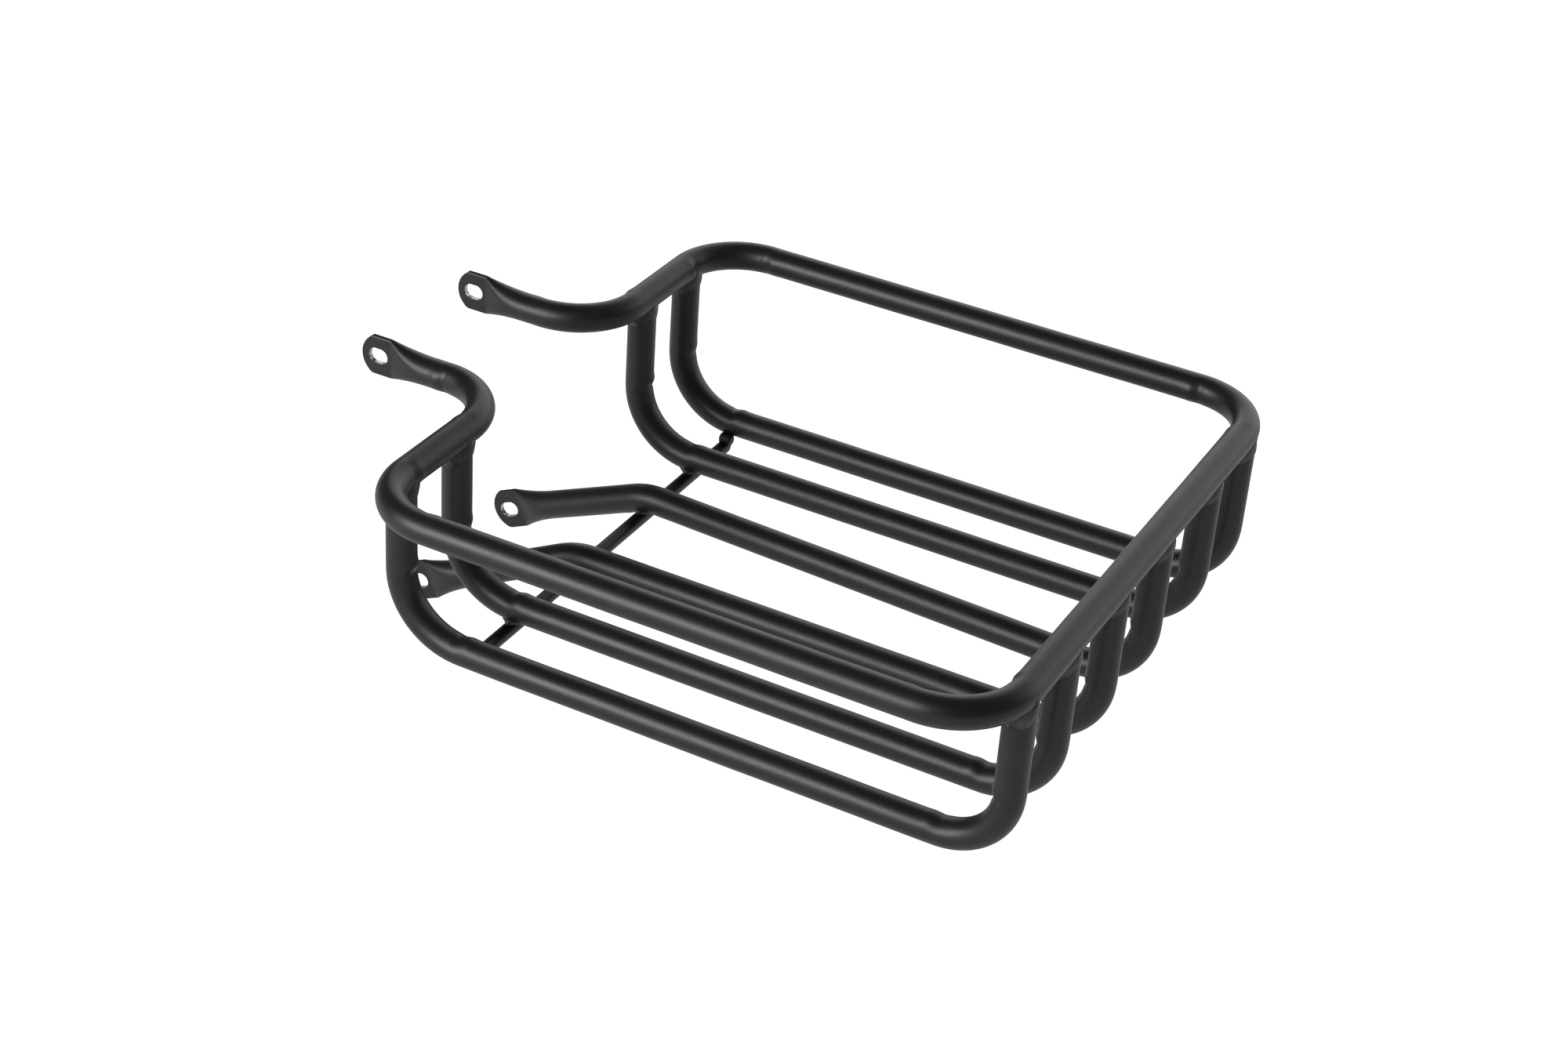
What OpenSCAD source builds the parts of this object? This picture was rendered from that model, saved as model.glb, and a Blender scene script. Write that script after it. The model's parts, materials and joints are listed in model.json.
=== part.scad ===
// Welded cargo basket of bent round tube.
// A top rail carries six floor tubes. Two arms of the rail and two stay tubes end in
// flattened, slotted tabs that bolt to a vehicle frame. +X points away from the tabs,
// +Z is up and left is +Y. Only the left stay, welded in askew, breaks the symmetry about
// the XZ plane.

/* [Basket] */
// Length of the rail, from the centre of its rear runs to the centre of its front run
basket_l = 345; // [300:1:400]
// Width of the rail between the centres of its side runs
basket_w = 360; // [350:1:420]
// Height of the rail's centre above the floor tubes' centres
basket_h = 92.5; // [86:0.5:130]

/* [Tube] */
// Outer diameter of every bent tube
tube_d = 16.5; // [15:0.5:17]
// Wall thickness of every bent tube
tube_wall = 1.5; // [1:0.1:2]
// Centreline radius of the rail's bends and of the floor tubes' rear bends
bend_r = 38; // [34:1:40]
// Centreline radius of the floor tubes' front bends
front_bend_r = 34; // [28:1:36]

/* [Floor tubes] */
// Distance of the outer floor tubes from the centre plane
outer_y = 145; // [140:1:150]
// Distance of the inner floor tubes from the centre plane
inner_y = 94.5; // [92:0.5:110]
// Distance of the right stay from the centre plane
stay_y = 34; // [32:1:36]
// Distance of the left stay's corner from the centre plane
left_stay_corner_y = 41; // [40:0.5:42]
// Distance of the left stay's front upright from the centre plane
left_stay_front_y = 26; // [25:0.5:27]
// How far in front of the rear runs the stays start to point at their tabs
stay_corner_x = 38; // [34:1:42]

/* [Mounting tabs] */
// Distance of each tab's mid plane from the centre plane
tab_y = 46.5; // [42:0.5:50]
// How far the upper slots lie behind the rear runs
upper_slot_back = 82.5; // [78:0.5:110]
// How far the lower slots lie behind the rear runs
lower_slot_back = 56; // [50:0.5:70]
// How far the lower slots lie below the floor tubes' centres
lower_slot_drop = 43; // [35:0.5:55]
// End-to-end length of a slot
slot_l = 12; // [10:0.5:13]
// Width of a slot
slot_w = 9; // [7:0.5:9]
// Height of the flattened tube
tab_h = 24; // [22:0.5:25]
// Distance of the tip from the slot's centre
tab_tip = 10.3; // [10:0.1:12]
// Radius of the rounded tip
tab_tip_r = 13.5; // [13:0.5:16]
// Distance from the slot's centre to the crease where the flat begins
tab_crease = 8; // [7.5:0.5:10]
// Length over which the round tube is pressed flat
flatten_l = 25; // [20:1:28]

/* [Cross rod] */
// Diameter of the rod under the floor tubes
rod_d = 8; // [6:0.5:10]
// How far in front of the rear runs the rod lies
rod_x = 37; // [37:1:60]
// How far short of the outer floor tubes' centres the rod ends
rod_short = 8; // [7.5:0.5:9]

/* [Welds] */
// How far a weld reaches down from the underside of the rail
collar_h = 6; // [4:0.5:8]
// How far a weld spreads along the rail
collar_flare = 4; // [3:0.5:6]
// How far a weld stands proud of the tube
weld_proud = 0.9; // [0.6:0.1:1.5]
// Size of the fillets that join the rod to a floor tube
rod_fillet = 2.5; // [2:0.5:4]

/* [Hidden] */
$fn = 64;
tube_r = tube_d / 2;
bore_r = tube_r - tube_wall;
rod_r = rod_d / 2;
paint = "#26272a";

// The top of an upright, inside the saddle that the rail sits in
upright_top = basket_h - 3;

// Tabs: plate thickness, and where the tip's arc meets the plate's straight edges
tab_t = 2 * tube_wall;
tip_corner = tab_tip - tab_tip_r + sqrt(pow(tab_tip_r, 2) - pow(tab_h / 2, 2));
// Each slanted or flattened stretch starts this much inside the surface it grows from
seam = 0.08;
// and overlaps it by this length
lap = 0.4;

// The stays behind their last bend run from the corner to the crease of the lower tab
lower_slope = atan2(lower_slot_drop, stay_corner_x + lower_slot_back);
crease_drop = lower_slot_drop - tab_crease * sin(lower_slope);
corner_to_crease = stay_corner_x + lower_slot_back - tab_crease * cos(lower_slope);

// A stay is its corner's and its upright's distance from the centre plane
left_stay = [left_stay_corner_y, left_stay_front_y];
right_stay = [stay_y, stay_y];

// Bead between an end of the rod and the outer floor tube, about the top of the rod's end
end_bead_r = norm([rod_short, tube_r]) - tube_r + weld_proud;

// Extents: the row's origin is the bottom centre of the box around the part
front_x = basket_l + tube_r + weld_proud;
rear_x = -upper_slot_back - tab_tip;
bottom_z = -lower_slot_drop - tip_corner * sin(lower_slope) - tab_h / 2 * cos(lower_slope);

// Bending plans. A step is [straight run, turn, bend radius, roll of the bend's plane].
half_rail_plan = [
    [basket_w / 2 - bend_r, 90, bend_r, 0],
    [basket_l - 2 * bend_r, 90, bend_r, 0],
    [basket_w / 2 - 2 * bend_r - tab_y, 90, bend_r, 180],
    [upper_slot_back - bend_r - tab_crease - flatten_l, 0, 0, 0]
];
floor_plan = [
    [upright_top - front_bend_r, 90, front_bend_r, -90],
    [basket_l - front_bend_r - bend_r, 90, bend_r, 0],
    [upright_top - bend_r, 0, 0, 0]
];

function stay_of(right) = right ? right_stay : left_stay;

// Length of a stay between its upright and its corner, and the angle it is askew by
function stay_run(stay) = norm([basket_l - stay_corner_x, stay[0] - stay[1]]);
function stay_skew(stay) = -atan2(stay[0] - stay[1], basket_l - stay_corner_x);

// From the corner to the crease: along the stay's own run, sideways, and down
function stay_rest(stay) =
    let(skew = stay_skew(stay), out = tab_y - stay[0])
    [
        corner_to_crease * cos(skew) - out * sin(skew),
        corner_to_crease * sin(skew) + out * cos(skew),
        crease_drop
    ];

// Moves the basket, drawn from the rear run and the floor tubes' centres, to the row's origin
module place() {
    translate([-(front_x + rear_x) / 2, 0, -bottom_z])
        children();
}

module mirrored(right) {
    mirror([0, right ? 1 : 0, 0])
        children();
}

module section(outer, inner) {
    difference() {
        circle(r = outer);
        if (inner > 0)
            circle(r = inner);
    }
}

// Follows a bending plan from the origin along +X; a positive turn bends towards +Y
module bent_bar(plan, outer, inner = 0, i = 0) {
    if (i < len(plan)) {
        run = plan[i][0];
        turn = plan[i][1];
        radius = plan[i][2];
        rotate([0, 90, 0])
            linear_extrude(run)
                section(outer, inner);
        translate([run, 0, 0])
            rotate([plan[i][3], 0, 0]) {
                if (turn > 0)
                    translate([0, radius, 0])
                        rotate([0, 0, -90])
                            rotate_extrude(angle = turn)
                                translate([radius, 0])
                                    section(outer, inner);
                translate([radius * sin(turn), radius * (1 - cos(turn)), 0])
                    rotate([0, 0, turn])
                        bent_bar(plan, outer, inner, i + 1);
            }
    }
}

module half_rail(outer, inner = 0) {
    translate([basket_l, 0, basket_h])
        rotate([0, 0, 90])
            bent_bar(half_rail_plan, outer, inner);
}

// A floor tube or a stay starts at the top of its front upright and runs down
module from_upright(x, y) {
    translate([x, y, upright_top])
        rotate([0, 90, 0])
            children();
}

// Solid stay up to its tab: the upright and the floor run, then the bend and the run to the tab
module stay_bar(stay, radius) {
    run = stay_run(stay);
    rest = stay_rest(stay);
    turn = acos(rest[0] / norm(rest));
    tangent = bend_r * tan(turn / 2);
    end_run = norm(rest) - tangent - flatten_l;
    lap_angle = asin(lap / bend_r);
    plan = [
        [upright_top - front_bend_r, 90, front_bend_r, -90],
        [run - front_bend_r - tangent, 0, 0, 0]
    ];
    translate([stay_corner_x, stay[0], 0])
        rotate([0, 0, stay_skew(stay)]) {
            from_upright(run, 0)
                bent_bar(plan, radius);
            translate([tangent, 0, 0])
                rotate([0, 0, 180])
                    rotate([atan2(-rest[2], -rest[1]), 0, 0]) {
                        translate([0, bend_r, 0])
                            rotate([0, 0, -90 - lap_angle])
                                rotate_extrude(angle = turn + lap_angle)
                                    translate([bend_r, 0])
                                        circle(r = radius - seam);
                        translate([bend_r * sin(turn), bend_r * (1 - cos(turn)), 0])
                            rotate([0, 0, turn])
                                translate([-lap, 0, 0])
                                    rotate([0, 90, 0])
                                        cylinder(r = radius - 2 * seam, h = end_run + lap);
                    }
        }
}

// Slot through a tab, with round ends
module slot() {
    end_x = (slot_l - slot_w) / 2;
    rotate([90, 0, 0])
        linear_extrude(4 * tab_t, center = true)
            union() {
                for (side = [-1, 1])
                    translate([side * end_x, 0])
                        circle(d = slot_w);
                square([2 * end_x, slot_w], center = true);
            }
}

// Flat stretch: a plate with folded edges, cut to a round tip. +X points at the tip.
module tab_plate() {
    edge_z = (tab_h - tab_t) / 2;
    intersection() {
        translate([-tab_crease, 0, 0])
            rotate([0, 90, 0])
                linear_extrude(tab_crease + tab_tip + 1)
                    union() {
                        square([2 * edge_z, tab_t], center = true);
                        for (side = [-1, 1])
                            translate([side * edge_z, 0])
                                circle(d = tab_t);
                    }
        rotate([90, 0, 0])
            linear_extrude(4 * tab_t, center = true)
                translate([tab_tip - tab_tip_r, 0])
                    circle(r = tab_tip_r);
    }
}

// Tube pressed flat: from a round section to a stadium of height and thickness at end_x
module flattening(radius, end_x, height, thickness, yaw) {
    hull() {
        for (side = [-1, 1])
            translate([end_x, 0, side * (height - thickness) / 2])
                rotate([0, -90, 0])
                    cylinder(d = thickness, h = lap, $fn = 16);
        translate([-tab_crease, 0, 0])
            rotate([0, 0, yaw])
                translate([-flatten_l - lap, 0, 0])
                    rotate([0, 90, 0])
                        cylinder(r = radius, h = lap, $fn = 32);
    }
}

// Tab and flattening about the slot's centre; step is how far its round end is set in
module tab(step, yaw = 0) {
    difference() {
        union() {
            tab_plate();
            flattening(tube_r - step, lap - tab_crease, tab_h - 2 * seam, tab_t - 2 * seam, yaw);
        }
        flattening(bore_r - step, -tab_crease - tab_t, tab_h - tab_t, seam, yaw);
        slot();
    }
}

module upper_tab() {
    translate([-upper_slot_back, tab_y, basket_h])
        rotate([0, 0, 180])
            tab(seam);
}

module lower_tab(stay) {
    out = tab_y - stay[0];
    translate([-lower_slot_back, tab_y, -lower_slot_drop])
        rotate([0, lower_slope, 180])
            tab(3 * seam, -asin(out / norm([corner_to_crease, out, crease_drop])));
}

module top_rail() {
    color(paint)
        place()
            for (right = [false, true])
                mirrored(right) {
                    half_rail(tube_r, bore_r);
                    upper_tab();
                }
}

module floor_tube(y, right) {
    color(paint)
        place()
            mirrored(right)
                difference() {
                    from_upright(basket_l, y)
                        bent_bar(floor_plan, tube_r, bore_r);
                    half_rail(tube_r);
                }
}

module stay_tube(right) {
    stay = stay_of(right);
    color(paint)
        place()
            mirrored(right) {
                difference() {
                    stay_bar(stay, tube_r);
                    stay_bar(stay, bore_r);
                    half_rail(tube_r);
                }
                lower_tab(stay);
            }
}

module cross_rod() {
    length = 2 * (outer_y - rod_short);
    color(paint)
        place()
            difference() {
                translate([rod_x, 0, -tube_r - rod_r])
                    rotate([90, 0, 0])
                        cylinder(r = rod_r, h = length, center = true);
                for (right = [false, true])
                    mirrored(right)
                        stay_bar(stay_of(right), tube_r);
            }
}

// Weld round the top of an upright, flared along the rail and nearly flush with its flanks
module rail_weld(x, y, right) {
    low = basket_h - tube_r - collar_h;
    color(paint)
        place()
            mirrored(right)
                difference() {
                    intersection() {
                        translate([x, y, low])
                            cylinder(
                                r1 = tube_r + weld_proud,
                                r2 = tube_r + collar_flare,
                                h = basket_h - low - tube_r / 2
                            );
                        translate([x, y, basket_h])
                            cube([2 * (tube_r + weld_proud), 4 * tube_d, 4 * tube_d], center = true);
                        half_rail(tube_r + collar_h);
                    }
                    half_rail(tube_r);
                    translate([x, y, 0])
                        cylinder(r = tube_r, h = basket_h);
                }
}

module rod_at(y, radius, length) {
    translate([rod_x, y, -tube_r - rod_r])
        rotate([90, 0, 0])
            cylinder(r = radius, h = length, center = true);
}

module along_x(y, z, radius, length) {
    translate([rod_x, y, z])
        rotate([0, 90, 0])
            cylinder(r = radius, h = length, center = true);
}

// Weld between the rod and a tube that crosses over it
module rod_weld(y, right, on_stay) {
    color(paint)
        place()
            mirrored(right)
                difference() {
                    intersection() {
                        along_x(y, 0, tube_r + rod_fillet, 4 * rod_d);
                        rod_at(y, rod_r + rod_fillet, tube_r * 1.5);
                    }
                    if (on_stay)
                        stay_bar(stay_of(right), tube_r);
                    else
                        along_x(y, 0, tube_r, 4 * rod_d);
                    rod_at(y, rod_r, 4 * tube_r);
                }
}

// Weld between an end of the rod and the outer floor tube
module rod_end_weld(right) {
    end_y = outer_y - rod_short;
    color(paint)
        place()
            mirrored(right)
                difference() {
                    along_x(end_y, -tube_r, end_bead_r, rod_d);
                    along_x(outer_y, 0, tube_r, 2 * rod_d);
                    rod_at(end_y - 2 * rod_d, rod_r, 4 * rod_d);
                }
}

top_rail();
floor_tube(outer_y, false);  // outer_tube_left
floor_tube(outer_y, true);  // outer_tube_right
floor_tube(inner_y, false);  // inner_tube_left
floor_tube(inner_y, true);  // inner_tube_right
stay_tube(false);  // stay_tube_left
stay_tube(true);  // stay_tube_right
cross_rod();
rail_weld(basket_l, outer_y, false);  // weld_front_outer_left
rail_weld(basket_l, outer_y, true);  // weld_front_outer_right
rail_weld(basket_l, inner_y, false);  // weld_front_inner_left
rail_weld(basket_l, inner_y, true);  // weld_front_inner_right
rail_weld(basket_l, left_stay[1], false);  // weld_front_stay_left
rail_weld(basket_l, right_stay[1], true);  // weld_front_stay_right
rail_weld(0, outer_y, false);  // weld_rear_outer_left
rail_weld(0, outer_y, true);  // weld_rear_outer_right
rail_weld(0, inner_y, false);  // weld_rear_inner_left
rail_weld(0, inner_y, true);  // weld_rear_inner_right
rod_end_weld(false);  // weld_rod_outer_left
rod_end_weld(true);  // weld_rod_outer_right
rod_weld(inner_y, false, false);  // weld_rod_inner_left
rod_weld(inner_y, true, false);  // weld_rod_inner_right
rod_weld(left_stay[0], false, true);  // weld_rod_stay_left
rod_weld(right_stay[0], true, true);  // weld_rod_stay_right
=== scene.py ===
import json
import math

import bmesh
import bpy
import numpy as np
from mathutils import Matrix, Vector


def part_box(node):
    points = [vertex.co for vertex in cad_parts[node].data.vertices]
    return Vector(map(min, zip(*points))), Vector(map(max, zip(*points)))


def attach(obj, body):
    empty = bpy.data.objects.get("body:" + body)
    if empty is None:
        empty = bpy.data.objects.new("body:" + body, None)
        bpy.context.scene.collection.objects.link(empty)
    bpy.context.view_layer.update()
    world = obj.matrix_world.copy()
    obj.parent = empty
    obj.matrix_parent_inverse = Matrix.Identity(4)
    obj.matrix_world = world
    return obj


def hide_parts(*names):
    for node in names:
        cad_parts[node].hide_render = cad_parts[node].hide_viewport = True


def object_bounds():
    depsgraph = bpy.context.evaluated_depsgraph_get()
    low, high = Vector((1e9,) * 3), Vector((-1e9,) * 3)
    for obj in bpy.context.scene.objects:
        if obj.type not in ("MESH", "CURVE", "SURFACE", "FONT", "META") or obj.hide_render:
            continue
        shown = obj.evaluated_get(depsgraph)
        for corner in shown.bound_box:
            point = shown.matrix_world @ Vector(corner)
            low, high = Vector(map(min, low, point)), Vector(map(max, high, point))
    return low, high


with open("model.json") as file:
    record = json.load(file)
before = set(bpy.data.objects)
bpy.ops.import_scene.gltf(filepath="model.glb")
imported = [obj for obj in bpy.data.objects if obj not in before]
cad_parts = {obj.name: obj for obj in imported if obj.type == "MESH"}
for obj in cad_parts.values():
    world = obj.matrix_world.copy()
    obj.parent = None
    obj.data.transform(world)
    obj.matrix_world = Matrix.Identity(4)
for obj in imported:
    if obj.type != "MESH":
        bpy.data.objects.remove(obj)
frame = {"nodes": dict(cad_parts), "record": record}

# Lengths are in millimetres, in the row frame, until a mesh, light or camera is made.
MM = 0.001
SEED = 11

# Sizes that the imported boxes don't give; a tab is a pressed and slotted tube end
RAIL_BEND_R = 38.0
REAR_BEND_R = 38.0
FRONT_BEND_R = 34.0
TAB_H = 24.0
TAB_T = 3.0
TAB_TIP = 10.3
TAB_TIP_R = 13.5
TAB_CREASE = 8.0
FLATTEN_L = 27.0
STAY_CORNER_X = 38.0
STAY_CREASE_BEND_R = 14.0
ROD_EDGE_R = 0.6

# Collar welds under the rail: reach down the upright, reach along the rail, height over the
# straight fillet, depth of the upper edge in the rail, and how much the saddle's cusps are filled
WELD_LEG = 9.0
WELD_FLARE = 6.2
WELD_PROUD = 0.7
WELD_SUNK = 2.2
WELD_CUSP_FILL = 0.07

# Fillets between tubes and rod: half sizes in x and y on the tube and on the rod
FILLET_ON_TUBE = (6.2, 5.6)
FILLET_ON_ROD = (3.5, 7.2)
FILLET_PROUD = 0.25

# Marks of the press bends: half length of a kink, places of its ridge and dip beside the bend's
# end, and the wall's slow wander, which is always inwards
KINK_HALF_L = 2.6
KINK_RIDGE = 4.0
KINK_DIP = 1.8
WANDER = 0.04
WANDER_FINE = 0.02

# Mesh resolution: points round a ring, columns along a tab, and gaps between rings
ROUND_STEPS = 96
TAB_STEPS = 128
TAB_COLUMNS = 38
TAB_RELAX_ROUNDS = 400
BEAD_STEPS = 120
FILLET_STEPS = 72
ROD_STEPS = 48
ROD_RINGS = 121
STRAIGHT_GAP = 5.0
BEND_GAP = 2.0
KINK_GAP = 1.1
FLATTEN_GAP = 0.7
EDGE_R = 0.22

# Light given off by the white table, as it shows and as it reaches the object
FLOOR_SHOWN = 0.99
FLOOR_FILL = 0.58
FLOOR_HALF_SIZE = 6.0
WORLD_STRENGTH = 0.12

# The photograph's viewpoint, in degrees, metres and lens millimetres
CAMERA_AIM = (0.0096, 0.0114, 0.0889)
CAMERA_VIEW = {"azimuth": 25.93, "elevation": 31.54, "roll": 4.39, "distance": 1.5325, "lens": 65.19}
SENSOR_WIDTH = 36.0

cad_low, cad_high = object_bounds()


# ---------------------------------------------------------------- where things are


def span(node):
    """Lowest and highest corner of a CAD node, in millimetres."""
    low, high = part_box(node)
    return np.array(low) / MM, np.array(high) / MM


def middle(node):
    low, high = span(node)
    return (low + high) / 2


rail_high = span("top_rail")[1]
outer_low, outer_high = span("outer_tube_left")
rod_low, rod_high = span("cross_rod")
TUBE_R = (outer_high[1] - outer_low[1]) / 2
ROD_R = (rod_high[0] - rod_low[0]) / 2
RAIL_Z = rail_high[2] - TAB_H / 2
FLOOR_Z = outer_low[2] + TUBE_R
FRONT_X = rail_high[0] - TUBE_R
REAR_X = outer_low[0] + TUBE_R
RAIL_Y = rail_high[1] - TUBE_R
ROD_X = middle("cross_rod")[0]
ROD_Z = rod_low[2] + ROD_R
STAY_CORNER = REAR_X + STAY_CORNER_X
MOUNTS = {m["name"]: m for m in frame["record"]["mounts"]}
SLOT_R = MOUNTS["upper_left_slot"]["dims"]["hole_r_mm"]
SLOT_L = MOUNTS["upper_left_slot"]["dims"]["slot_length_mm"]


def slot_centre(name):
    return np.array(MOUNTS[name]["pos_m"]) / MM


# ---------------------------------------------------------------- bent tubes


def unit(v):
    return v / np.linalg.norm(v)


def unit_rows(v):
    return v / np.linalg.norm(v, axis=1)[:, None]


def smooth(t):
    t = np.clip(t, 0, 1)
    return t * t * (3 - 2 * t)


class BentLine:
    """Centreline through corner points, with an arc of the given radius at each inner one."""

    def __init__(self, corners, radii):
        corners = [np.array(c, float) for c in corners]
        self.pieces = []  # (start along the line, length, point, direction, inward, radius)
        self.bends = []  # (start, end, inward at the start, direction at the start, radius)
        along, here = 0.0, corners[0]
        for a, b, c, radius in zip(corners, corners[1:], corners[2:], radii):
            before, after = unit(b - a), unit(c - b)
            turn = math.acos(np.clip(before @ after, -1, 1))
            tangent = radius * math.tan(turn / 2)
            start = b - before * tangent
            run = (start - here) @ before
            self.pieces.append((along, run, here, before, None, 0))
            along += run
            inward = unit(after - before * (before @ after))
            self.pieces.append((along, radius * turn, start, before, inward, radius))
            self.bends.append((along, along + radius * turn, inward, before, radius))
            along += radius * turn
            here = b + after * tangent
        last = unit(corners[-1] - here)
        run = np.linalg.norm(corners[-1] - here)
        self.pieces.append((along, run, here, last, None, 0))
        self.length = along + run

    def at(self, s):
        """Point and direction at the length s along the line."""
        piece = next(p for p in reversed(self.pieces) if p[0] <= s + 1e-9)
        start, _, point, direction, inward, radius = piece
        t = s - start
        if radius == 0:
            return point + direction * t, direction
        turn = t / radius
        moved = point + radius * (direction * math.sin(turn) + inward * (1 - math.cos(turn)))
        return moved, direction * math.cos(turn) + inward * math.sin(turn)


def stations(line, flat_from):
    """Where the rings go: close at bend ends and at a flattened end, wide on straight runs."""
    marks, s = [], 0.0
    while s < line.length:
        marks.append(s)
        step = STRAIGHT_GAP
        for start, end, *_ in line.bends:
            if start - 9 < s < end + 9:
                step = min(step, BEND_GAP)
            if min(abs(s - start), abs(s - end)) < 8:
                step = min(step, KINK_GAP)
        if s > flat_from - 4:
            step = FLATTEN_GAP
        s += step
    if line.length - marks[-1] < 0.3:
        marks.pop()
    return marks + [line.length]


def stadium(thickness, count, round_share):
    """A tube's section pressed to a thickness: (across, up) points, evenly spaced along it."""
    stretched = 2 * (TAB_H - TAB_T) + math.pi * TAB_T
    girth = round_share * 2 * math.pi * TUBE_R + (1 - round_share) * stretched
    flat = max(0.0, (girth - math.pi * thickness) / 2)
    arc = math.pi * thickness / 2
    q = np.arange(count) / count * girth
    r = thickness / 2
    across, up = np.empty(count), np.empty(count)
    for k, s in enumerate(q):
        if s <= flat / 2:
            across[k], up[k] = r, s
        elif s < flat / 2 + arc:
            angle = (s - flat / 2) / r
            across[k], up[k] = r * math.cos(angle), flat / 2 + r * math.sin(angle)
        elif s <= 1.5 * flat + arc:
            across[k], up[k] = -r, flat / 2 - (s - flat / 2 - arc)
        elif s < 1.5 * flat + 2 * arc:
            angle = math.pi + (s - 1.5 * flat - arc) / r
            across[k], up[k] = r * math.cos(angle), -flat / 2 + r * math.sin(angle)
        else:
            across[k], up[k] = r, s - girth
    return np.stack([across, up], 1)


def bend_marks(line, s, angle, frame_of, marks):
    """How far a press bend moves the wall in or out at the length s, for each angle."""
    out = np.zeros_like(angle)
    for (start, end, inward, _, radius), kick in zip(line.bends, marks):
        if not start - 25 < s < end + 25:
            continue
        across, up = frame_of(start)
        inner = math.atan2(inward @ up, inward @ across)
        facing = np.cos(angle - inner)
        within = smooth((s - start) / 8 + 0.5) * smooth((end - s) / 8 + 0.5)
        strength = min(1.0, (end - start) / radius)
        out += strength * within * (0.16 - 0.34 * facing**2)
        inside = np.clip(facing, 0, 1) ** 2
        for edge, way, size in ((start, -1, kick[0]), (end, 1, kick[1])):
            t = (s - edge) * way
            out += strength * size * inside * math.exp(-(((t - KINK_RIDGE) / KINK_HALF_L) ** 2))
            out -= strength * 1.1 * size * inside * math.exp(-(((t + KINK_DIP) / KINK_HALF_L) ** 2))
        ripple = math.sin((s - start) * 1.35 + kick[2])
        out += strength * within * kick[3] * np.clip(facing, 0, 1) ** 4 * ripple
    return out


def sweep(line, reference, reference_is_up, count, rng, flat_end=False):
    """Rings of a bent tube as points, from the line's start to its end."""
    marks = [
        (rng.uniform(0.25, 0.7), rng.uniform(0.25, 0.7), rng.uniform(0, 6), rng.uniform(0.03, 0.09))
        for _ in line.bends
    ]
    phase = rng.uniform(0, 6, 4)

    def frame_of(s):
        direction = line.at(s)[1]
        kept = unit(reference - direction * (reference @ direction))
        if reference_is_up:
            return np.cross(kept, direction), kept
        return kept, np.cross(direction, kept)

    crease = line.length if flat_end else None
    flat_from = crease - FLATTEN_L if flat_end else line.length + 10
    rings = []
    for s in stations(line, flat_from):
        point, _ = line.at(s)
        across, up = frame_of(s)
        share = np.clip((crease - s) / FLATTEN_L, 0, 1) if flat_end else 1.0
        ease = 1 - (1 - share) ** 2.2
        thickness = TAB_T + (2 * TUBE_R - TAB_T) * ease
        section = stadium(thickness, count, ease)
        angle = np.arctan2(section[:, 1], section[:, 0])
        wander = WANDER * (math.sin(s / 17 + phase[0]) * np.cos(angle + phase[1]) - 1)
        wander += WANDER_FINE * (math.sin(s / 7.3 + phase[2]) * np.cos(2 * angle + phase[3]) - 1)
        grow = (bend_marks(line, s, angle, frame_of, marks) + wander) * ease
        outward = section / np.linalg.norm(section, axis=1)[:, None]
        section = section + outward * grow[:, None]
        rings.append(point + section[:, :1] * across + section[:, 1:] * up)
    return rings, frame_of(line.length)


# ---------------------------------------------------------------- meshes


class Shell:
    """Collects points and faces; face groups 0 and 1 are painted and bare metal."""

    def __init__(self):
        self.points = []
        self.faces = []
        self.groups = []
        self.rounded = []

    def add(self, points):
        first = len(self.points)
        self.points.extend(np.asarray(points))
        return list(range(first, first + len(points)))

    def face(self, corners, group=0):
        kept = [c for i, c in enumerate(corners) if c != corners[i - 1]]
        if len(kept) > 2:
            self.faces.append(kept)
            self.groups.append(group)

    def band(self, low, high, group=0):
        """Faces between two closed loops of the same length."""
        for i in range(len(low)):
            self.face([low[i - 1], low[i], high[i], high[i - 1]], group)

    def lid(self, loop):
        """Closes a round ring with shrinking rings and a centre point."""
        points = np.array([self.points[i] for i in loop])
        centre = points.mean(0)
        outer = loop
        for share in (0.66, 0.33):
            inner = self.add(centre + (points - centre) * share)
            self.band(outer, inner)
            outer = inner
        tip = self.add([centre])[0]
        for i in range(len(outer)):
            self.face([outer[i - 1], outer[i], tip])

    def piece(self, name, node, materials, merge=0.0):
        """Makes the Blender object that stands for a CAD node."""
        bm = bmesh.new()
        verts = [bm.verts.new(Vector(p * MM)) for p in self.points]
        bm.verts.ensure_lookup_table()
        for corners, group in zip(self.faces, self.groups):
            f = bm.faces.new([verts[c] for c in corners])
            f.material_index = group
            f.smooth = True
        if self.rounded:
            edges = [bm.edges.get((verts[a], verts[b])) for a, b in self.rounded]
            bmesh.ops.bevel(
                bm, geom=[e for e in edges if e], offset=EDGE_R * MM, offset_type="OFFSET",
                segments=2, profile=0.5, affect="EDGES", clamp_overlap=True, material=-1,
            )
        if merge:
            bmesh.ops.remove_doubles(bm, verts=bm.verts, dist=merge * MM)
        loose = [v for v in bm.verts if not v.link_faces]
        bmesh.ops.delete(bm, geom=loose, context="VERTS")
        bmesh.ops.recalc_face_normals(bm, faces=bm.faces)
        for f in bm.faces:
            f.smooth = True
        mesh = bpy.data.meshes.new(name)
        bm.to_mesh(mesh)
        bm.free()
        for m in materials:
            mesh.materials.append(m)
        obj = bpy.data.objects.new(name, mesh)
        bpy.context.scene.collection.objects.link(obj)
        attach(obj, "root")
        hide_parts(node)
        return obj


def slot_edge(direction):
    """Where a ray from the slot's centre meets its outline."""
    low, high = 0.0, SLOT_L
    for _ in range(40):
        t = (low + high) / 2
        p = direction * t
        core = np.clip(p[0], -(SLOT_L / 2 - SLOT_R), SLOT_L / 2 - SLOT_R)
        if math.hypot(p[0] - core, p[1]) < SLOT_R:
            low = t
        else:
            high = t
    return direction * low


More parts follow.
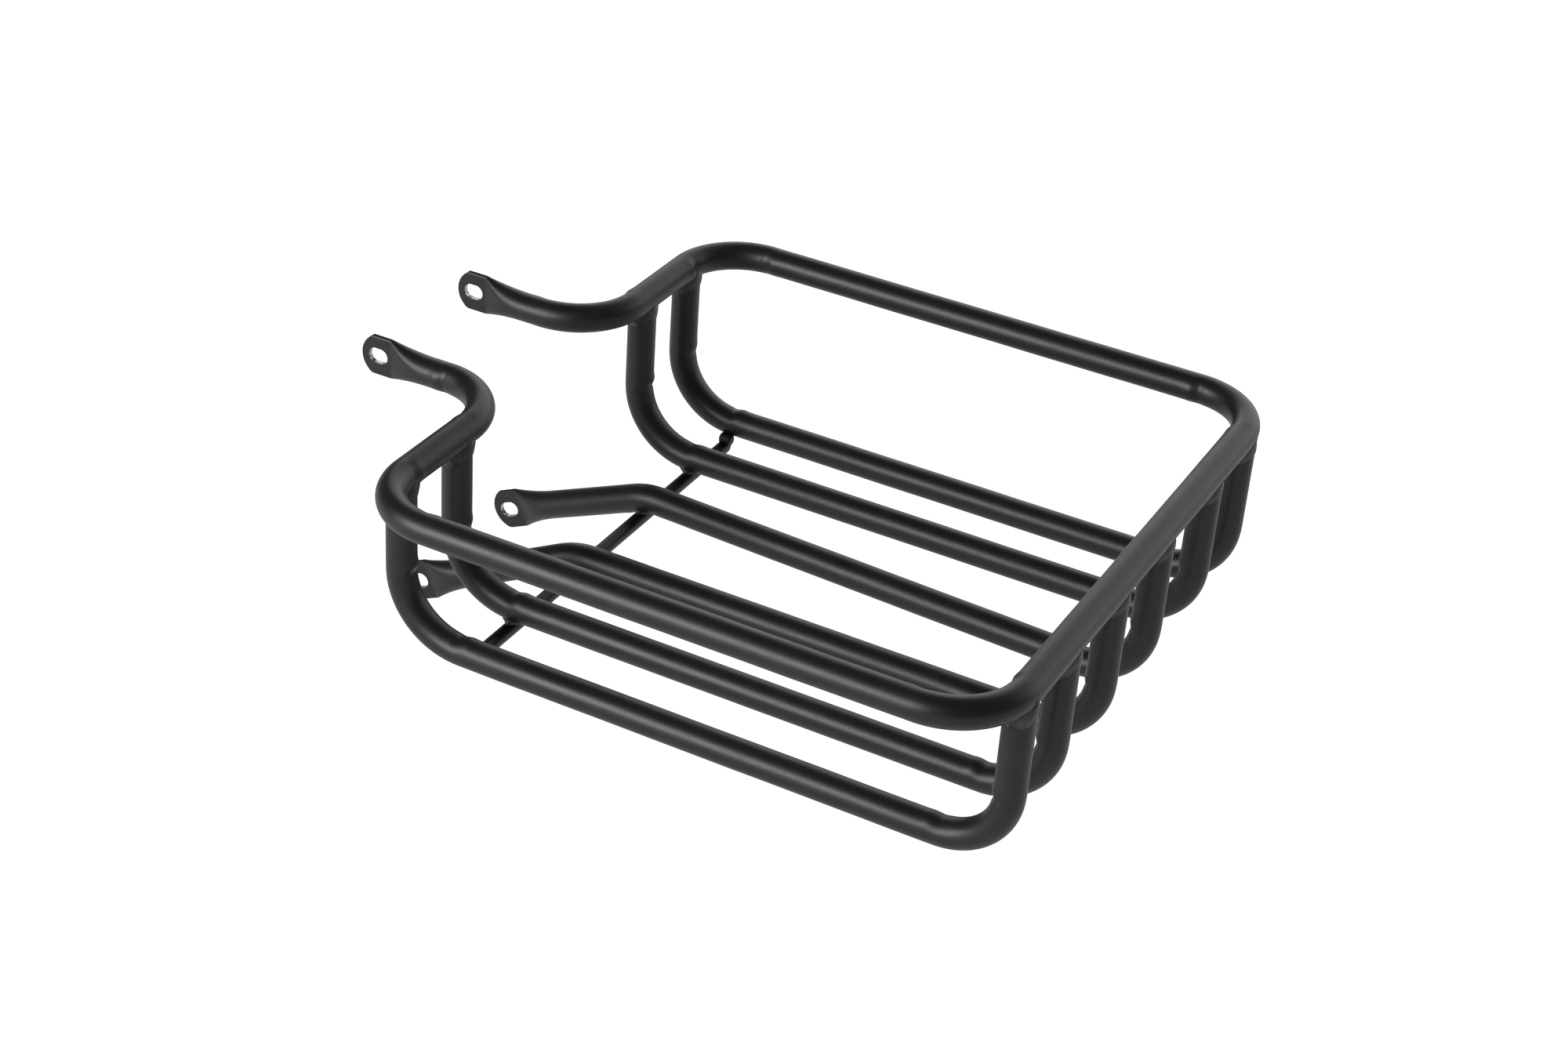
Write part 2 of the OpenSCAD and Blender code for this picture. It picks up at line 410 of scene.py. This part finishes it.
def tab_grid(count):
    """Relaxed (x, z) places of the tab's face points, and the columns and rows of the slot's edge."""
    section = stadium(TAB_T, count, 0.0)
    rows = [k for k in range(-count // 4, count // 4 + 1) if section[k % count, 0] >= TAB_T / 2 - 1e-6]
    z = np.array([section[k % count, 1] for k in rows])
    tip_x = TAB_TIP - TAB_TIP_R + np.sqrt(TAB_TIP_R**2 - z**2)
    share = np.linspace(0, 1, TAB_COLUMNS + 1)[:, None]
    grid = np.empty((TAB_COLUMNS + 1, len(rows), 2))
    grid[..., 0] = -TAB_CREASE + share * (tip_x[None] + TAB_CREASE)
    grid[..., 1] = z[None]
    start = grid.copy()
    reach_x, reach_z = 0.82 * SLOT_L / 2, 0.82 * SLOT_R
    columns = np.where(np.abs(start[:, len(rows) // 2, 0]) < reach_x)[0]
    lines = np.where(np.abs(z) < reach_z)[0]
    c0, c1, r0, r1 = columns[0], columns[-1], lines[0], lines[-1]
    fixed = np.zeros(grid.shape[:2], bool)
    fixed[[0, -1]] = True
    fixed[:, [0, -1]] = True
    for c in range(c0, c1 + 1):
        for r in range(r0, r1 + 1):
            if c in (c0, c1) or r in (r0, r1):
                across = (c - (c0 + c1) / 2) / ((c1 - c0) / 2) * SLOT_L / 2
                up = (r - (r0 + r1) / 2) / ((r1 - r0) / 2) * SLOT_R
                grid[c, r] = slot_edge(unit(np.array([across, up])))
                fixed[c, r] = True
    inside = np.zeros(grid.shape[:2], bool)
    inside[c0 + 1 : c1, r0 + 1 : r1] = True
    for _ in range(TAB_RELAX_ROUNDS):
        mean = (grid[2:, 1:-1] + grid[:-2, 1:-1] + grid[1:-1, 2:] + grid[1:-1, :-2]) / 4
        keep = (fixed | inside)[1:-1, 1:-1]
        grid[1:-1, 1:-1][~keep] = mean[~keep]
    return section, rows, grid, (c0, c1, r0, r1)


def add_tab(shell, ring, centre, tip_way, across, up, count):
    """Flat slotted end: continues the pressed ring at the crease to the cut tip."""
    section, rows, grid, (c0, c1, r0, r1) = tab_grid(count)
    half = count // 2
    row_of = {k: j for j, k in enumerate(rows)}

    def face_row(k):
        """Grid row of ring point k on the front or back face, or None on a rounded edge."""
        front = k - count if k > half else k
        if abs(front) > count // 4:
            front = (half if front > 0 else -half) - front
        return row_of.get(front)

    face_rows = [face_row(k) for k in range(count)]
    columns = [ring]
    for c in range(1, TAB_COLUMNS + 1):
        points = []
        for k, row in enumerate(face_rows):
            if row is None:
                z = section[k, 1]
                x_tip = TAB_TIP - TAB_TIP_R + math.sqrt(TAB_TIP_R**2 - z * z)
                x = -TAB_CREASE + c / TAB_COLUMNS * (x_tip + TAB_CREASE)
            else:
                x, z = grid[c, row]
            points.append(centre + tip_way * x + across * section[k, 0] + up * z)
        columns.append(shell.add(points))

    for c in range(TAB_COLUMNS):
        for k in range(count):
            nxt = (k + 1) % count
            pair = (face_rows[k], face_rows[nxt])
            if c0 <= c < c1 and None not in pair and r0 <= min(pair) and max(pair) <= r1:
                continue  # the slot
            shell.face([columns[c][k], columns[c][nxt], columns[c + 1][nxt], columns[c + 1][k]])

    # The slot's wall, from the front face to the back one
    loop = [(c0, r) for r in range(r0, r1)] + [(c, r1) for c in range(c0, c1)]
    loop += [(c1, r) for r in range(r1, r0, -1)] + [(c, r0) for c in range(c1, c0, -1)]
    front_loop = [columns[c][rows[r] % count] for c, r in loop]
    back_loop = [columns[c][(half - rows[r]) % count] for c, r in loop]
    shell.rounded += list(zip(front_loop, front_loop[1:] + front_loop[:1]))
    shell.rounded += list(zip(back_loop, back_loop[1:] + back_loop[:1]))
    previous = front_loop
    front_points = np.array([shell.points[i] for i in front_loop])
    back_points = np.array([shell.points[i] for i in back_loop])
    for share in (0.25, 0.5, 0.75):
        between = shell.add(front_points * (1 - share) + back_points * share)
        shell.band(previous, between, 1)
        previous = between
    shell.band(previous, back_loop, 1)

    # The cut tip
    tip = columns[-1]
    for k in range(-count // 4, count // 4):
        a, b = tip[k % count], tip[(k + 1) % count]
        c, d = tip[(half - k - 1) % count], tip[(half - k) % count]
        shell.face([a, b, c, d])
    shell.rounded += list(zip(tip, tip[1:] + tip[:1]))


def tube(name, node, line, reference, materials, rng, reference_is_up=False):
    """A bent tube with plain ends, which are hidden in the tubes they are welded to."""
    shell = Shell()
    rings, _ = sweep(line, reference, reference_is_up, ROUND_STEPS, rng)
    loops = [shell.add(r) for r in rings]
    for a, b in zip(loops, loops[1:]):
        shell.band(a, b)
    shell.lid(loops[0])
    shell.lid(loops[-1])
    return shell.piece(name, node, materials)


def arm(shell, line, reference, reference_is_up, slot, rng, closed):
    """A bent tube whose far end is pressed flat and slotted."""
    rings, (across, up) = sweep(line, reference, reference_is_up, TAB_STEPS, rng, flat_end=True)
    loops = [shell.add(r) for r in rings]
    for a, b in zip(loops, loops[1:]):
        shell.band(a, b)
    if closed:
        shell.lid(loops[0])
    add_tab(shell, loops[-1], slot, line.at(line.length)[1], across, up, TAB_STEPS)


def crease_before(slot, way):
    return slot - way * TAB_CREASE


X, Y, Z = np.eye(3)


def rail_line(side):
    slot = slot_centre("upper_left_slot" if side > 0 else "upper_right_slot")
    corners = [
        (FRONT_X, 0, RAIL_Z),
        (FRONT_X, side * RAIL_Y, RAIL_Z),
        (REAR_X, side * RAIL_Y, RAIL_Z),
        (REAR_X, slot[1], RAIL_Z),
        crease_before(slot, -X),
    ]
    return BentLine(corners, [RAIL_BEND_R] * 3), slot


def floor_line(y):
    corners = [(FRONT_X, y, RAIL_Z), (FRONT_X, y, FLOOR_Z), (REAR_X, y, FLOOR_Z), (REAR_X, y, RAIL_Z)]
    return BentLine(corners, [FRONT_BEND_R, REAR_BEND_R])


def stay_line(side):
    name = "left" if side > 0 else "right"
    slot = slot_centre(f"lower_{name}_slot")
    front_y = middle(f"weld_front_stay_{name}")[1]
    corner_y = middle(f"weld_rod_stay_{name}")[1]
    corner = np.array([STAY_CORNER, corner_y, FLOOR_Z])
    way = unit((slot - corner) * (1, 0, 1))
    corners = [(FRONT_X, front_y, RAIL_Z), (FRONT_X, front_y, FLOOR_Z), corner]
    corners += [crease_before(slot, way) - way * 2, crease_before(slot, way)]
    return BentLine(corners, [FRONT_BEND_R, REAR_BEND_R, STAY_CREASE_BEND_R]), slot


# ---------------------------------------------------------------- welds


def bead_noise(rng, count, sizes):
    """Smooth closed random wave: a sum of a few turns with random phase."""
    t = np.linspace(0, 2 * math.pi, count, endpoint=False)
    wave = np.zeros(count)
    for turns, size in sizes:
        wave += size * np.sin(turns * t + rng.uniform(0, 2 * math.pi))
    return wave


def rail_bead(name, node, x, y, materials, rng):
    """Fillet weld round the saddle where an upright meets the rail above it."""
    shell = Shell()
    angle = np.linspace(0, 2 * math.pi, BEAD_STEPS, endpoint=False)
    leg = WELD_LEG * (0.82 + bead_noise(rng, BEAD_STEPS, ((2, 0.06), (5, 0.04), (11, 0.03), (17, 0.02))))
    flare = WELD_FLARE * (1 + bead_noise(rng, BEAD_STEPS, ((3, 0.08), (7, 0.06), (13, 0.04))))
    scallop = 0.10 * np.abs(np.sin(angle * 11 + bead_noise(rng, BEAD_STEPS, ((3, 0.8), (5, 0.6)))))
    lump = bead_noise(rng, BEAD_STEPS, ((4, 0.06), (9, 0.05), (16, 0.03)))
    sine = np.abs(np.sin(angle))
    side = np.sqrt((sine**2 + WELD_CUSP_FILL) / (1 + WELD_CUSP_FILL))
    profile = np.linspace(0, 1, 15)
    loops = []
    ring_x, ring_y = TUBE_R * np.cos(angle), TUBE_R * np.sin(angle)
    corner = np.stack([x + ring_x, y + ring_y, RAIL_Z - TUBE_R * side], 1)
    radial = np.stack([np.cos(angle), np.sin(angle), 0 * angle], 1)
    low = corner - np.outer(leg, Z) - radial * 0.2
    high = corner + np.outer(np.sign(np.sin(angle)) * flare * sine**0.7, Y)
    high += np.stack([-np.cos(angle), 0 * angle, side], 1) * WELD_SUNK
    control = corner * 0.3 + (low + high) / 2 * 0.7
    outward = radial * 0.8 - np.outer(0.6 * sine, Z)
    outward /= np.linalg.norm(outward, axis=1)[:, None]
    for v in profile:
        base = low * (1 - v) ** 2 + control * 2 * v * (1 - v) + high * v**2
        rise = (4 * v * (1 - v)) ** 0.75
        height = rise * (WELD_PROUD + scallop + lump)
        loops.append(shell.add(base + outward * height[:, None]))
    inner = 0.75
    for base in (high, corner, low):
        hidden = base.copy()
        hidden[:, 0] = x + (base[:, 0] - x) * inner
        hidden[:, 1] = y + (base[:, 1] - y) * inner
        hidden[:, 2] += 1.0
        loops.append(shell.add(hidden))
    for a, b in zip(loops, loops[1:] + loops[:1]):
        shell.band(a, b)
    return shell.piece(name, node, materials)


def rod_bead(name, node, y, materials, rng):
    """Small fillet weld between a floor tube and the rod that crosses under it."""
    shell = Shell()
    angle = np.linspace(0, 2 * math.pi, FILLET_STEPS, endpoint=False)
    wobble = 1 + bead_noise(rng, FILLET_STEPS, ((2, 0.05), (5, 0.05), (9, 0.03)))
    tube_x = FILLET_ON_TUBE[0] * np.cos(angle) * wobble
    tube_y = FILLET_ON_TUBE[1] * np.sin(angle) * wobble
    rod_x = FILLET_ON_ROD[0] * np.cos(angle)
    rod_y = FILLET_ON_ROD[1] * np.sin(angle) * wobble
    top = np.stack([ROD_X + tube_x, y + tube_y, FLOOR_Z - np.sqrt(TUBE_R**2 - tube_y**2)], 1)
    bottom = np.stack([ROD_X + rod_x, y + rod_y, ROD_Z + np.sqrt(ROD_R**2 - rod_x**2)], 1)
    middle_ring = (top + bottom) / 2
    core = middle_ring.mean(0)
    middle_ring = core + (middle_ring - core) * 0.93
    loops = []
    for v in np.linspace(0, 1, 9):
        base = top * (1 - v) ** 2 + middle_ring * 2 * v * (1 - v) + bottom * v**2
        out = unit_rows((base - core) * (1, 1, 0))
        loops.append(shell.add(base + out * (FILLET_PROUD * (4 * v * (1 - v)) ** 0.5)))
    for base in (bottom, top):
        loops.append(shell.add(core + (base - core) * 0.6))
    for a, b in zip(loops, loops[1:] + loops[:1]):
        shell.band(a, b)
    return shell.piece(name, node, materials)


def rod_end_bead(name, node, end_y, materials, rng):
    """Lump of weld that bridges the top of the rod's end and the outer floor tube."""
    shell = Shell()
    count = 40
    angle = np.linspace(0, 2 * math.pi, count, endpoint=False)
    outer_y = middle("outer_tube_left")[1]
    radius = math.hypot(outer_y - abs(end_y), TUBE_R) - TUBE_R + 0.8
    half = ROD_R * 1.05
    loops = []
    for t in np.linspace(-0.985, 0.985, 25):
        ripple = 0.14 * math.sin(9 * t) + bead_noise(rng, count, ((2, 0.05), (3, 0.05), (7, 0.03)))
        ring = radius * (1 - abs(t) ** 3.2) ** (1 / 3.2) + ripple * (1 - t * t)
        x, y = ROD_X + half * t + 0 * angle, end_y + ring * np.cos(angle)
        loops.append(shell.add(np.stack([x, y, ROD_Z + ROD_R + ring * np.sin(angle)], 1)))
    for a, b in zip(loops, loops[1:]):
        shell.band(a, b)
    shell.lid(loops[0])
    shell.lid(loops[-1])
    return shell.piece(name, node, materials)


def cross_rod(name, node, materials):
    """Plain round rod with its end edges rounded."""
    shell = Shell()
    turn = np.linspace(0, 2 * math.pi, ROD_STEPS, endpoint=False)
    loops = []
    for share in np.linspace(0, 1, ROD_RINGS):
        y = rod_low[1] + share * (rod_high[1] - rod_low[1])
        edge = min(y - rod_low[1], rod_high[1] - y)
        short = max(0.0, 1 - edge / ROD_EDGE_R)
        radius = ROD_R - ROD_EDGE_R + ROD_EDGE_R * math.sqrt(1 - short**2)
        ring = np.stack([ROD_X + radius * np.cos(turn), 0 * turn + y, ROD_Z + radius * np.sin(turn)], 1)
        loops.append(shell.add(ring))
    for a, b in zip(loops, loops[1:]):
        shell.band(a, b)
    shell.lid(loops[0])
    shell.lid(loops[-1])
    return shell.piece(name, node, materials)


# ---------------------------------------------------------------- materials


class Nodes:
    """Short way to build a node tree."""

    def __init__(self, name):
        self.material = bpy.data.materials.new(name)
        self.material.use_nodes = True
        self.tree = self.material.node_tree
        self.shader = self.tree.nodes["Principled BSDF"]
        self.place = self.add("ShaderNodeTexCoord").outputs["Object"]

    def add(self, kind, inputs=None, **settings):
        node = self.tree.nodes.new(kind)
        for key, value in settings.items():
            setattr(node, key, value)
        for key, value in (inputs or {}).items():
            if isinstance(value, bpy.types.NodeSocket):
                self.tree.links.new(value, node.inputs[key])
            else:
                node.inputs[key].default_value = value
        return node

    def noise(self, scale, detail=3.0, roughness=0.5):
        inputs = {"Vector": self.place, "Scale": scale, "Detail": detail, "Roughness": roughness}
        return self.add("ShaderNodeTexNoise", inputs).outputs["Fac"]

    def spread(self, value, low, high, to_low=0.0, to_high=1.0):
        inputs = {"Value": value, "From Min": low, "From Max": high, "To Min": to_low, "To Max": to_high}
        return self.add("ShaderNodeMapRange", inputs).outputs["Result"]

    def mix(self, share, a, b):
        node = self.add("ShaderNodeMix", data_type="RGBA")
        self.tree.links.new(share, node.inputs["Factor"])
        for socket, value in ((node.inputs[6], a), (node.inputs[7], b)):
            if isinstance(value, bpy.types.NodeSocket):
                self.tree.links.new(value, socket)
            else:
                socket.default_value = (*value, 1)
        return node.outputs[2]

    def maths(self, operation, a, b):
        return self.add("ShaderNodeMath", {0: a, 1: b}, operation=operation).outputs[0]

    def set(self, socket, value):
        if isinstance(value, bpy.types.NodeSocket):
            self.tree.links.new(value, self.shader.inputs[socket])
        else:
            self.shader.inputs[socket].default_value = value

    def bump(self, height, strength, distance):
        inputs = {"Height": height, "Strength": strength, "Distance": distance}
        node = self.add("ShaderNodeBump", inputs)
        self.tree.links.new(node.outputs["Normal"], self.shader.inputs["Normal"])


def black_paint():
    """Satin black powder coat: fine orange peel, dust nibs and faint handling marks."""
    n = Nodes("black_powder_coat")
    cloud = n.noise(38.0, 4.0, 0.6)
    peel = n.noise(1500.0, 2.0, 0.5)
    wave = n.noise(330.0, 2.0, 0.5)
    grain = n.noise(5200.0, 1.0, 0.5)
    colour = n.mix(n.spread(cloud, 0.3, 0.7), (0.0040, 0.0041, 0.0043), (0.0062, 0.0063, 0.0065))
    nib = n.spread(n.noise(900.0, 1.0, 0.3), 0.78, 0.84)
    colour = n.mix(nib, colour, (0.045, 0.045, 0.046))
    rub = n.spread(n.noise(75.0, 6.0, 0.75), 0.56, 0.78)
    colour = n.mix(n.maths("MULTIPLY", rub, 0.35), colour, (0.018, 0.018, 0.0185))
    n.set("Base Color", colour)
    rough = n.spread(cloud, 0.25, 0.75, 0.39, 0.44)
    rough = n.maths("ADD", rough, n.maths("MULTIPLY", rub, 0.05))
    n.set("Roughness", rough)
    n.set("Specular IOR Level", 0.38)
    height = n.maths("ADD", n.maths("MULTIPLY", peel, 0.5), n.maths("MULTIPLY", wave, 1.0))
    height = n.maths("ADD", height, n.maths("MULTIPLY", grain, 0.12))
    height = n.maths("ADD", height, n.maths("MULTIPLY", nib, 0.5))
    n.bump(height, 0.35, 0.00012)
    return n.material


def bare_steel():
    """Wall of a punched slot: shear marks in bare steel with paint left in patches."""
    n = Nodes("punched_steel")
    patch = n.spread(n.noise(420.0, 4.0, 0.6), 0.47, 0.6)
    shear = n.add("ShaderNodeMapping", {"Vector": n.place, "Scale": (3800.0, 260.0, 3800.0)})
    marks = n.add("ShaderNodeTexNoise", {"Vector": shear.outputs[0], "Scale": 1.0}).outputs["Fac"]
    steel = n.mix(n.spread(marks, 0.3, 0.7), (0.42, 0.41, 0.40), (0.72, 0.71, 0.70))
    n.set("Base Color", n.mix(patch, steel, (0.02, 0.02, 0.021)))
    n.set("Metallic", n.maths("SUBTRACT", 1.0, patch))
    n.set("Roughness", n.spread(marks, 0.3, 0.7, 0.28, 0.5))
    n.bump(marks, 0.4, 0.00008)
    return n.material


def pale_floor():
    """Matt white light table with a faint paper tooth. It lights the object less than it shows."""
    n = Nodes("studio_floor")
    cloud = n.noise(1.2, 3.0, 0.5)
    n.set("Base Color", n.mix(cloud, (0.28, 0.28, 0.28), (0.32, 0.32, 0.32)))
    n.set("Roughness", n.spread(n.noise(60.0, 3.0, 0.5), 0.3, 0.7, 0.85, 0.95))
    n.set("Emission Color", (1, 1, 1, 1))
    seen = n.add("ShaderNodeLightPath").outputs["Is Camera Ray"]
    n.set("Emission Strength", n.spread(seen, 0.0, 1.0, FLOOR_FILL, FLOOR_SHOWN))
    return n.material


# ---------------------------------------------------------------- the object

paint, steel = black_paint(), bare_steel()
rng = np.random.default_rng(SEED)

rail = Shell()
for side in (1, -1):
    line, slot = rail_line(side)
    arm(rail, line, Z, True, slot, rng, closed=False)
rail.piece("top_rail_look", "top_rail", [paint, steel], merge=0.05)

for side_name, side in (("left", 1), ("right", -1)):
    for which in ("outer", "inner"):
        node = f"{which}_tube_{side_name}"
        tube(f"{node}_look", node, floor_line(middle(node)[1]), Y, [paint], rng)
    node = f"stay_tube_{side_name}"
    line, slot = stay_line(side)
    stay = Shell()
    arm(stay, line, Y, False, slot, rng, closed=True)
    stay.piece(f"{node}_look", node, [paint, steel])
    for end, x in (("front", FRONT_X), ("rear", REAR_X)):
        for which in ("outer", "inner", "stay"):
            node = f"weld_{end}_{which}_{side_name}"
            if node in frame["nodes"]:
                rail_bead(f"{node}_look", node, x, middle(node)[1], [paint], rng)
    for which in ("inner", "stay"):
        node = f"weld_rod_{which}_{side_name}"
        rod_bead(f"{node}_look", node, middle(node)[1], [paint], rng)
    node = f"weld_rod_outer_{side_name}"
    rod_end_bead(f"{node}_look", node, side * rod_high[1], [paint], rng)

cross_rod("cross_rod_look", "cross_rod", [paint])

# ---------------------------------------------------------------- studio


def softbox(name, aim, azimuth, elevation, distance, size, radiance):
    """Panel seen from the object at an azimuth (0 is -Y, 90 is +X) and elevation."""
    a, e = math.radians(azimuth), math.radians(elevation)
    way = Vector((math.sin(a) * math.cos(e), -math.cos(a) * math.cos(e), math.sin(e)))
    data = bpy.data.lights.new(name, "AREA")
    data.shape = "RECTANGLE"
    data.size, data.size_y = size
    data.energy = radiance * math.pi * size[0] * size[1]
    light = bpy.data.objects.new(name, data)
    light.location = Vector(aim) + way * distance
    light.rotation_mode = "QUATERNION"
    light.rotation_quaternion = (-way).to_track_quat("-Z", "Y")
    bpy.context.scene.collection.objects.link(light)


def studio_floor(low):
    """Wide floor at the object's lowest point."""
    bm = bmesh.new()
    bmesh.ops.create_grid(bm, x_segments=24, y_segments=24, size=FLOOR_HALF_SIZE)
    mesh = bpy.data.meshes.new("studio_floor")
    bm.to_mesh(mesh)
    bm.free()
    mesh.materials.append(pale_floor())
    obj = bpy.data.objects.new("studio_floor", mesh)
    obj.location = (0, 0, low)
    bpy.context.scene.collection.objects.link(obj)


def photo_camera(azimuth, elevation, roll, distance, lens, aim):
    """Camera on the photograph's side of the object."""
    a, e = math.radians(azimuth), math.radians(elevation)
    back = Vector((math.sin(a) * math.cos(e), -math.cos(a) * math.cos(e), math.sin(e)))
    data = bpy.data.cameras.new("camera")
    data.lens = lens
    data.sensor_width = SENSOR_WIDTH
    cam = bpy.data.objects.new("camera", data)
    cam.rotation_mode = "QUATERNION"
    turned = (-back).to_track_quat("-Z", "Y").to_matrix() @ Matrix.Rotation(math.radians(roll), 3, "Z")
    cam.rotation_quaternion = turned.to_quaternion()
    cam.location = Vector(aim) + back * distance
    bpy.context.scene.collection.objects.link(cam)
    bpy.context.scene.camera = cam


photo_camera(aim=CAMERA_AIM, **CAMERA_VIEW)

world = bpy.data.worlds.new("studio")
world.use_nodes = True
world.node_tree.nodes["Background"].inputs["Color"].default_value = (1, 1, 1, 1)
world.node_tree.nodes["Background"].inputs["Strength"].default_value = WORLD_STRENGTH
bpy.context.scene.world = world
bpy.context.scene.view_settings.view_transform = "Standard"

studio_floor(cad_low.z)
CENTRE = (cad_low + cad_high) / 2
softbox("key", CENTRE, -26, 21, 1.8, (1.3, 0.8), 12.0)
softbox("backdrop", CENTRE, 172, 23, 2.2, (5.0, 2.0), 1.5)
